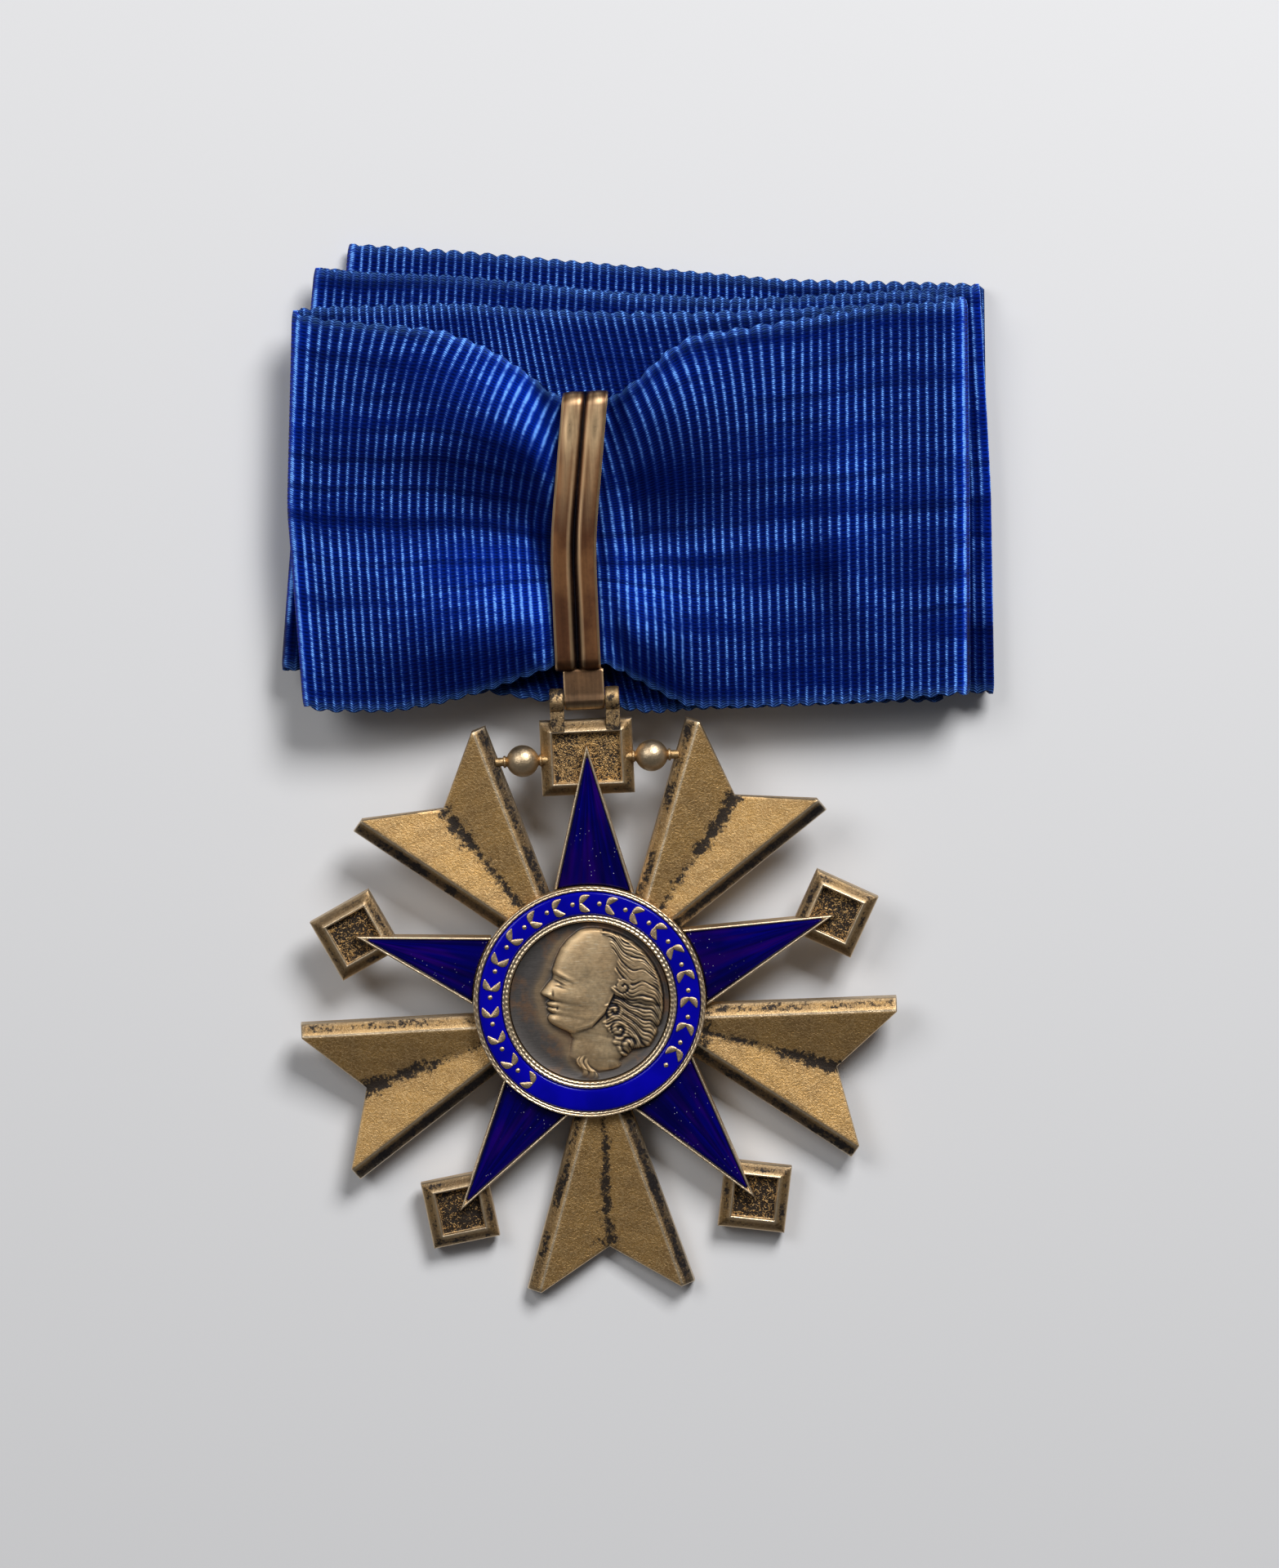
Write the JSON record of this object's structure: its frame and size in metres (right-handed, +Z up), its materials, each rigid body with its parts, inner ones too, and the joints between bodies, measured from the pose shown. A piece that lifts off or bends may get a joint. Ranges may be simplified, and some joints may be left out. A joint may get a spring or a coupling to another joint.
{
  "type": "order neck badge",
  "caption": "Neck badge of an order: enamelled star between swallow-tail rays with a profile medallion, hinged to a long reeded bail on a folded neck ribbon.",
  "frame": {"origin": "on the surface that it lies on, under the middle of the folded ribbon packet", "axes": "+Z up out of the badge's face, +Y from the star's centre towards its hinge, +X to the right as seen from above; the hinge's axis lies along X"},
  "size_m": [0.0705, 0.1031, 0.0086],
  "materials": {
    "gilt": "matt grained gilt with dark patina in the hollows and worn bright edges",
    "bail_gilt": "satin gilt with a darkened groove",
    "medallion_metal": "struck relief with dark brown patina in the field",
    "arm_enamel": "translucent deep blue-violet enamel over a radially cut ground",
    "ring_enamel": "glossy ultramarine enamel",
    "ribbon_cloth": "ribbed watered silk"
  },
  "bodies": {
    "ribbon_and_bail": {"ribbon": "ribbon_cloth", "bail": "bail_gilt"},
    "badge": {"hinge_pin": "bail_gilt", "star": "gilt", "enamel_top": "arm_enamel", "enamel_upper_left": "arm_enamel", "enamel_lower_left": "arm_enamel", "enamel_lower_right": "arm_enamel", "enamel_upper_right": "arm_enamel", "ring_cell": "gilt", "ring_enamel": "ring_enamel", "medallion": "medallion_metal"}
  },
  "joints": [
    {"name": "badge_hinge", "type": "hinge", "parent": "ribbon_and_bail", "child": "badge", "pos_m": [-0.0062, -0.0188, 0.00665], "axis": [-1, 0, 0], "range_deg": [0, 110]}
  ]
}
